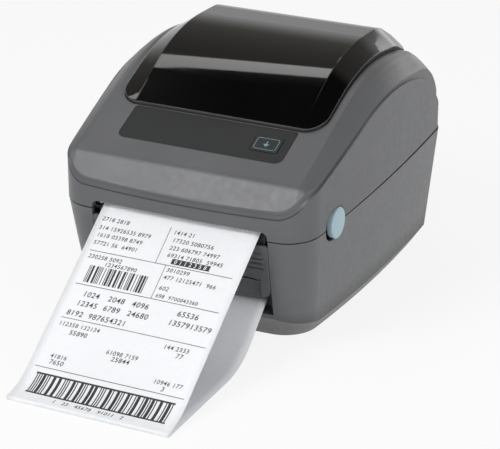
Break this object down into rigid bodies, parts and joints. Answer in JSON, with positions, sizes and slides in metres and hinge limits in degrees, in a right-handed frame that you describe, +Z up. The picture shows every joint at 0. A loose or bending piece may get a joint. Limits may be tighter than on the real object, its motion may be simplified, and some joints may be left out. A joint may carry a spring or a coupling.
{
  "type": "thermal label printer",
  "caption": "Desktop thermal label printer with a rear-hinged cover, smoked roll window, side latches, driven platen and a label strip hanging from its front slot.",
  "frame": {"origin": "middle of the printer's footprint on the table, under the housing", "axes": "+Z up, -Y to the front where the labels come out, +X to the right seen from the front"},
  "size_m": [0.1732, 0.3217, 0.1535],
  "materials": {
    "base_grey": "fine moulded texture",
    "bezel_grey": "fine moulded texture",
    "cover_grey": "fine moulded texture",
    "window_smoke": "polished smoked plastic",
    "overlay_dark": "satin film",
    "key_dark": "satin film",
    "latch_blue": "satin",
    "tray_grey": "fine moulded texture",
    "holder_grey": "satin",
    "gear_white": "satin",
    "pinion_brass": "machined",
    "shaft_steel": "turned",
    "platen_rubber": "ground matte",
    "bearing_black": "satin",
    "frame_steel": "zinc plated sheet",
    "motor_steel": "drawn can",
    "sensor_black": "satin",
    "board_green": "solder mask",
    "socket_steel": "tin plated",
    "socket_black": "satin",
    "switch_black": "semi gloss",
    "rocker_black": "semi gloss",
    "head_ceramic": "ground",
    "sink_aluminium": "extruded",
    "label_paper": "smooth coated paper",
    "roll_paper": "wound coated paper",
    "core_card": "kraft board",
    "bar_steel": "ground edge",
    "foot_rubber": "matte"
  },
  "bodies": {
    "base": {"base_housing": "base_grey", "front_bezel": "bezel_grey", "media_tray": "tray_grey", "platen_frame": "frame_steel", "platen_bearing_left": "bearing_black", "platen_bearing_right": "bearing_black", "idler_pin": "shaft_steel", "stepper_motor": "motor_steel", "main_board": "board_green", "usb_socket": "socket_steel", "serial_socket": "socket_steel", "parallel_socket": "socket_black", "power_socket": "socket_black", "switch_frame": "switch_black", "hinge_pin": "shaft_steel", "latch_pin_left": "shaft_steel", "latch_pin_right": "shaft_steel", "label_strip": "label_paper", "foot_front_left": "foot_rubber", "foot_front_right": "foot_rubber", "foot_rear_left": "foot_rubber", "foot_rear_right": "foot_rubber"},
    "cover": {"top_cover": "cover_grey", "viewing_window": "window_smoke", "control_overlay": "overlay_dark", "control_board": "board_green", "tact_switch": "sensor_black", "tear_bar": "bar_steel"},
    "head": {"print_head": "head_ceramic", "head_heat_sink": "sink_aluminium", "head_bracket": "frame_steel", "head_pivot_rod": "shaft_steel"},
    "key": {"feed_key": "key_dark"},
    "left_latch": {"latch_left": "latch_blue"},
    "right_latch": {"latch_right": "latch_blue"},
    "platen": {"platen_shaft": "shaft_steel", "platen_rubber": "platen_rubber", "platen_gear": "gear_white"},
    "compound": {"compound_gear": "gear_white"},
    "rotor": {"motor_shaft": "shaft_steel", "motor_pinion": "pinion_brass"},
    "roll": {"label_roll": "roll_paper", "roll_core": "core_card"},
    "left_holder": {"roll_holder_left": "holder_grey"},
    "right_holder": {"roll_holder_right": "holder_grey"},
    "guide_gear": {"guide_pinion": "gear_white"},
    "sensor": {"media_sensor": "sensor_black"},
    "rocker": {"power_rocker": "rocker_black"}
  },
  "joints": [
    {"name": "cover_hinge", "type": "hinge", "parent": "base", "child": "cover", "pos_m": [0, 0.102, 0.08032], "axis": [-1, 0, 0], "range_deg": [0, 95]},
    {"name": "head_float", "type": "hinge", "parent": "cover", "child": "head", "pos_m": [0, -0.0713, 0.0895], "axis": [-1, 0, 0], "range_deg": [0, 3], "stiffness_Nm_per_rad": 2, "springref_deg": -5.73},
    {"name": "key_press", "type": "slide", "parent": "cover", "child": "key", "axis": [0, 0.3823, -0.924], "range_m": [0, 0.0007], "stiffness_N_per_m": 400, "springref_m": -0.0005},
    {"name": "latch_left_pull", "type": "hinge", "parent": "base", "child": "left_latch", "pos_m": [-0.074, -0.0644, 0.0375], "axis": [1, 0, 0], "range_deg": [0, 5.5], "stiffness_Nm_per_rad": 0.6, "springref_deg": -5.73},
    {"name": "latch_right_pull", "type": "hinge", "parent": "base", "child": "right_latch", "pos_m": [0.074, -0.0644, 0.0375], "axis": [1, 0, 0], "range_deg": [0, 5.5], "stiffness_Nm_per_rad": 0.6, "springref_deg": -5.73},
    {"name": "roll_spin", "type": "hinge", "parent": "base", "child": "roll", "pos_m": [0, 0.022, 0.078], "axis": [1, 0, 0], "continuous": true},
    {"name": "platen_spin", "type": "hinge", "parent": "base", "child": "platen", "pos_m": [0, -0.0933, 0.07], "axis": [1, 0, 0], "continuous": true},
    {"name": "compound_spin", "type": "hinge", "parent": "base", "child": "compound", "pos_m": [-0.066, -0.08524, 0.06497], "axis": [1, 0, 0], "continuous": true},
    {"name": "motor_spin", "type": "hinge", "parent": "base", "child": "rotor", "pos_m": [-0.066, -0.08299, 0.05216], "axis": [1, 0, 0], "continuous": true},
    {"name": "right_guide_slide", "type": "slide", "parent": "base", "child": "right_holder", "axis": [1, 0, 0], "range_m": [0, 0.006]},
    {"name": "left_guide_slide", "type": "slide", "parent": "base", "child": "left_holder", "axis": [-1, 0, 0], "range_m": [0, 0.006]},
    {"name": "guide_gear_spin", "type": "hinge", "parent": "base", "child": "guide_gear", "pos_m": [0, 0.022, 0.015], "axis": [0, 0, -1], "range_deg": [0, 57.5]},
    {"name": "sensor_slide", "type": "slide", "parent": "base", "child": "sensor", "axis": [1, 0, 0], "range_m": [-0.04, 0.04]},
    {"name": "rocker_tilt", "type": "hinge", "parent": "base", "child": "rocker", "pos_m": [-0.057, 0.09694, 0.0241], "axis": [-1, 0, 0], "range_deg": [0, 16]}
  ],
  "couplings": [
    {"joint": "platen_spin", "follows": "roll_spin", "ratio": 6.8571},
    {"joint": "compound_spin", "follows": "roll_spin", "ratio": -9.4286},
    {"joint": "motor_spin", "follows": "roll_spin", "ratio": 31.429},
    {"joint": "left_guide_slide", "follows": "right_guide_slide", "ratio": 1},
    {"joint": "guide_gear_spin", "follows": "right_guide_slide", "rad_per_m": 166.67}
  ]
}
